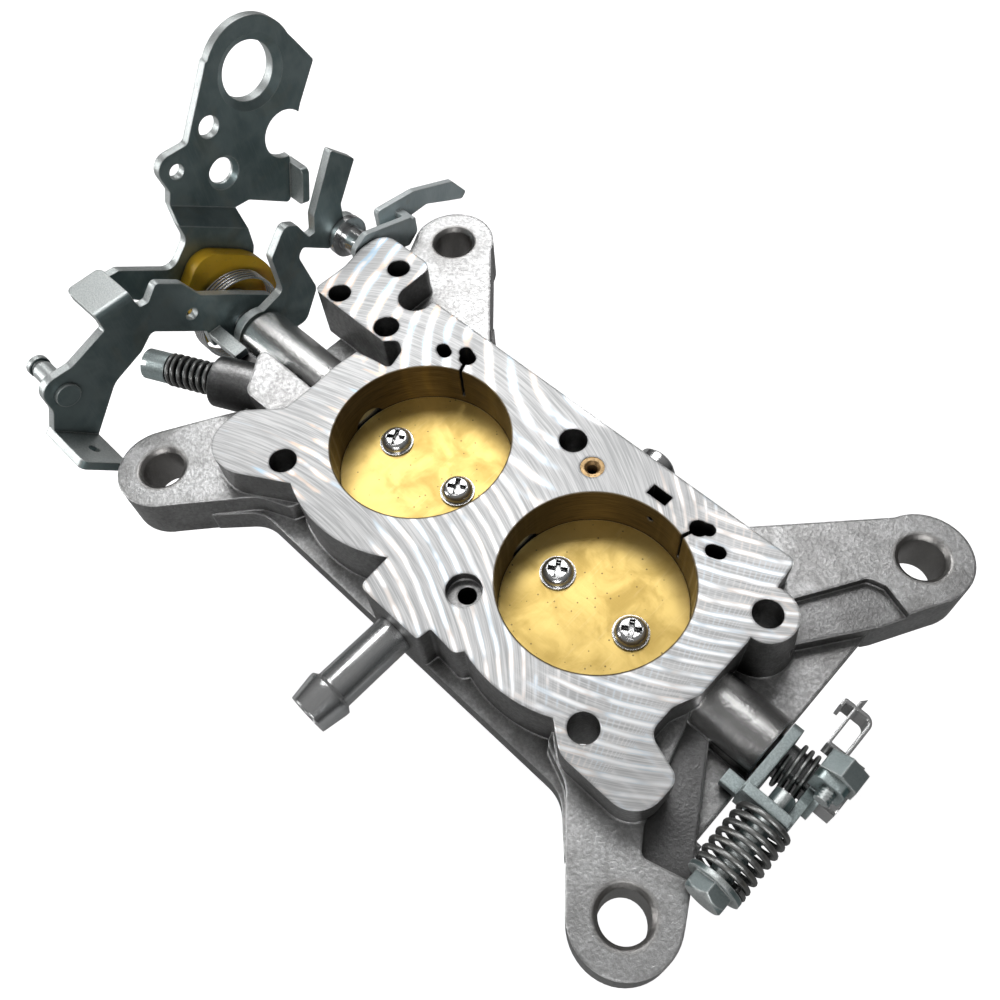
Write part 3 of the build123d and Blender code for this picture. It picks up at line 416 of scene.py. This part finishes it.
def pale_zinc():
    return plated_steel("pale_zinc", (0.46, 0.56, 0.58, 1), (0.70, 0.79, 0.81, 1),
                        (0.90, 0.94, 0.94, 1), 0.03, 0.30, 0.3)


def spring_steel():
    return plated_steel("spring_steel", (0.10, 0.10, 0.10, 1), (0.30, 0.30, 0.29, 1),
                        (0.42, 0.43, 0.42, 1), 0.02, 0.26)


def yellow_plastic():
    net = Net("yellow_plastic")
    flow = net.noise(net.place(), 0.12, 3.0, 0.5, 1.0)
    grime = net.noise(net.place(), 0.7, 5.0, 0.7)
    color = net.mix(flow, (0.66, 0.36, 0.01, 1), (0.86, 0.52, 0.03, 1))
    color = net.mix(net.ramp(grime, 0.55, 0.8, 0.0, 0.5), color, (0.24, 0.19, 0.05, 1))
    # painted shade in corners and recesses
    color = net.mix(net.painted_crevice_shade(2.0), (0.12, 0.09, 0.02, 1), color)
    normal = net.bump(grime, 0.06, net.round_edges(0.5))
    return net.finish(Base_Color=color, Roughness=net.ramp(grime, 0.3, 0.8, 0.32, 0.55),
                      Normal=normal, Subsurface_Weight=0.08)


def floor_paper():
    net = Net("floor_paper")
    fibre = net.noise(net.place(), 0.8, 4.0)
    seen = net.nodes.new("ShaderNodeLightPath").outputs["Is Camera Ray"]
    color = net.mix(seen, grey(0.38), net.mix(fibre, grey(0.90), grey(0.93)))
    normal = net.bump(fibre, 0.02, net.geometry.outputs["Normal"])
    # from below the floor is clear, so that the underside can be looked at
    clear = net.nodes.new("ShaderNodeBsdfTransparent").outputs[0]
    choice = net.nodes.new("ShaderNodeMixShader")
    net.put(choice.inputs[0], net.geometry.outputs["Backfacing"])
    net.put(choice.inputs[1], net.shader.outputs[0])
    net.put(choice.inputs[2], clear)
    net.put(net.nodes["Material Output"].inputs[0], choice.outputs[0])
    return net.finish(Base_Color=color, Roughness=net.ramp(fibre, 0.3, 0.7, 0.8, 0.9), Normal=normal,
                      Specular_IOR_Level=0.2, Emission_Color=grey(1.0),
                      Emission_Strength=net.math("MULTIPLY", seen, 0.72))


MATERIALS = {
    "cast_aluminium": cast_aluminium(),
    "bronze": bronze(),
    "brass": brass(),
    "bright_plating": bright_plating(),
    "zinc_plate": zinc_plate(),
    "dark_plating": dark_plating(),
    "pale_zinc": pale_zinc(),
    "spring_steel": spring_steel(),
    "yellow_plastic": yellow_plastic(),
}

LOOKS = {"link_lever": "pale_zinc"}    # nodes that look different from the rest of their slot


# ---------------------------------------------------------------- fine detail
def add_mesh(name, points, faces, slot):
    """New piece from points in millimetres."""
    mesh = bpy.data.meshes.new(name)
    mesh.from_pydata([Vector(p) * MM for p in points], [], faces)
    mesh.shade_smooth()
    mesh.update()
    piece = bpy.data.objects.new(name, mesh)
    bpy.context.scene.collection.objects.link(piece)
    piece.data.materials.append(MATERIALS[slot])
    return piece


def sides_of(axis):
    """Two directions square to an axis."""
    side = axis.orthogonal().normalized()
    return side, axis.cross(side)


def thread(name, start, end, radius, pitch, body, slot):
    """Raised helical ridge around a plain screw shank."""
    axis = (end - start).normalized()
    side, other = sides_of(axis)
    per_turn = 24
    count = int((end - start).length / pitch * per_turn)
    ridge = ((-0.45, -0.08), (0.0, 0.30), (0.45, -0.08))    # along and outward, in pitches
    points = []
    faces = []
    for i in range(count + 1):
        angle = 2 * pi * i / per_turn
        outward = side * cos(angle) + other * sin(angle)
        centre = start + axis * (pitch * i / per_turn)
        for along, out in ridge:
            points.append(centre + axis * (along * pitch) + outward * (radius + out * pitch))
    for i in range(count):
        for k in range(2):
            corner = 3 * i + k
            faces.append((corner, corner + 1, corner + 4, corner + 3))
    piece = add_mesh(name, points, faces, slot)
    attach(piece, body)


def spring(node, start, end, radius, wire, turns):
    """Coil spring with closed ends in place of a CAD spring."""
    axis = (end - start).normalized()
    side, other = sides_of(axis)
    per_turn = 32
    around_wire = 10
    count = int(turns * per_turn)
    closed = 0.9 / turns          # share of the wire in each closed end
    closed_rise = 1.8 * wire      # length that one closed end takes up
    open_length = (end - start).length - 2 * wire - 2 * closed_rise
    points = []
    faces = []
    for i in range(count + 1):
        share = i / count
        ends = (min(share, closed) + max(share - 1 + closed, 0.0)) / closed
        middle = min(max((share - closed) / (1 - 2 * closed), 0.0), 1.0)
        along = wire + ends * closed_rise + middle * open_length
        angle = 2 * pi * i / per_turn
        outward = side * cos(angle) + other * sin(angle)
        for k in range(around_wire):
            roll = 2 * pi * k / around_wire
            points.append(start + axis * (along + wire * sin(roll)) + outward * (radius + wire * cos(roll)))
    for i in range(count):
        for k in range(around_wire):
            following = (k + 1) % around_wire
            faces.append((i * around_wire + k, i * around_wire + following,
                          (i + 1) * around_wire + following, (i + 1) * around_wire + k))
    faces.append(tuple(range(around_wire)))
    faces.append(tuple(count * around_wire + k for k in range(around_wire)))
    piece = add_mesh(node + "_coil", points, faces, "spring_steel")
    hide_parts(node)
    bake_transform(piece)


def springs():
    start, end = (IDLE_HEAD + IDLE_WAY * along for along in IDLE_SPRING)
    spring("idle_spring", start, end, 3.4, 0.55, 7.5)
    start, end = (Vector((FAST_X, y, FAST_Z)) for y in FAST_SPRING)
    spring("fast_idle_spring", start, end, 4.6, 0.55, 7.5)


def screw_threads():
    start, end = (IDLE_HEAD + IDLE_WAY * along for along in IDLE_THREAD)
    thread("idle_thread", start, end, 2.3, 0.8, "idle_adjuster", "dark_plating")
    start, end = (Vector((FAST_X, y, FAST_Z)) for y in FAST_THREAD)
    thread("fast_idle_thread", start, end, 2.0, 0.7, "fast_idle_adjuster", "zinc_plate")
    start, end = (Vector((CLAMP_X, y, CLAMP_Z)) for y in CLAMP_THREAD)
    thread("clamp_thread", start, end, 1.4, 0.6, "throttle", "zinc_plate")


screw_threads()
springs()


# ---------------------------------------------------------------- studio
def floor():
    bpy.ops.mesh.primitive_plane_add(size=8, location=(0, 0, -FLOOR_DROP * MM))
    plane = bpy.context.object
    plane.name = "floor"
    plane.data.materials.append(floor_paper())


def softbox(name, place, width, height, power):
    light = bpy.data.lights.new(name, "AREA")
    light.shape = "RECTANGLE"
    light.size = width
    light.size_y = height
    light.energy = power
    lamp = bpy.data.objects.new(name, light)
    lamp.location = place
    lamp.rotation_euler = (-Vector(place)).to_track_quat("-Z", "Y").to_euler()
    bpy.context.scene.collection.objects.link(lamp)


def surroundings():
    """Dim room, lighter overhead, for contrast in the metal; the camera itself sees it pale."""
    world = bpy.data.worlds.new("surroundings")
    bpy.context.scene.world = world
    world.use_nodes = True
    nodes = world.node_tree.nodes
    links = world.node_tree.links
    direction = nodes.new("ShaderNodeTexCoord").outputs["Generated"]
    height = nodes.new("ShaderNodeSeparateXYZ")
    links.new(direction, height.inputs[0])
    shade = nodes.new("ShaderNodeMapRange")
    shade.inputs["From Min"].default_value = 0.15
    shade.inputs["From Max"].default_value = 0.9
    shade.inputs["To Min"].default_value = 0.01
    shade.inputs["To Max"].default_value = 0.16
    links.new(height.outputs[2], shade.inputs["Value"])
    seen = nodes.new("ShaderNodeMix")
    links.new(nodes.new("ShaderNodeLightPath").outputs["Is Camera Ray"], seen.inputs[0])
    links.new(shade.outputs[0], seen.inputs[2])
    seen.inputs[3].default_value = 0.95
    links.new(seen.outputs[0], nodes["Background"].inputs["Strength"])
    nodes["Background"].inputs["Color"].default_value = (1, 1, 1, 1)


def camera():
    data = bpy.data.cameras.new("camera")
    data.lens = LENS
    data.sensor_width = SENSOR
    data.clip_start = 0.01
    right = Vector(CAMERA_RIGHT)
    forward = Vector(CAMERA_FORWARD).normalized()
    right = (right - forward * right.dot(forward)).normalized()
    up = right.cross(forward)
    matrix = Matrix((right, up, -forward)).transposed().to_4x4()
    matrix.translation = Vector(CAMERA_PLACE)
    view = bpy.data.objects.new("camera", data)
    view.matrix_world = matrix
    bpy.context.scene.collection.objects.link(view)
    bpy.context.scene.camera = view


def dress(record):
    for subpart in record["subparts"]:
        node = frame["nodes"][subpart["node"]]
        look = LOOKS.get(subpart["node"], subpart["material_slot"])
        node.data.materials.clear()
        node.data.materials.append(MATERIALS[look])


dress(frame["record"])
floor()
for settings in SOFTBOXES:
    softbox(*settings)
surroundings()
camera()
bpy.context.scene.view_settings.view_transform = "Standard"
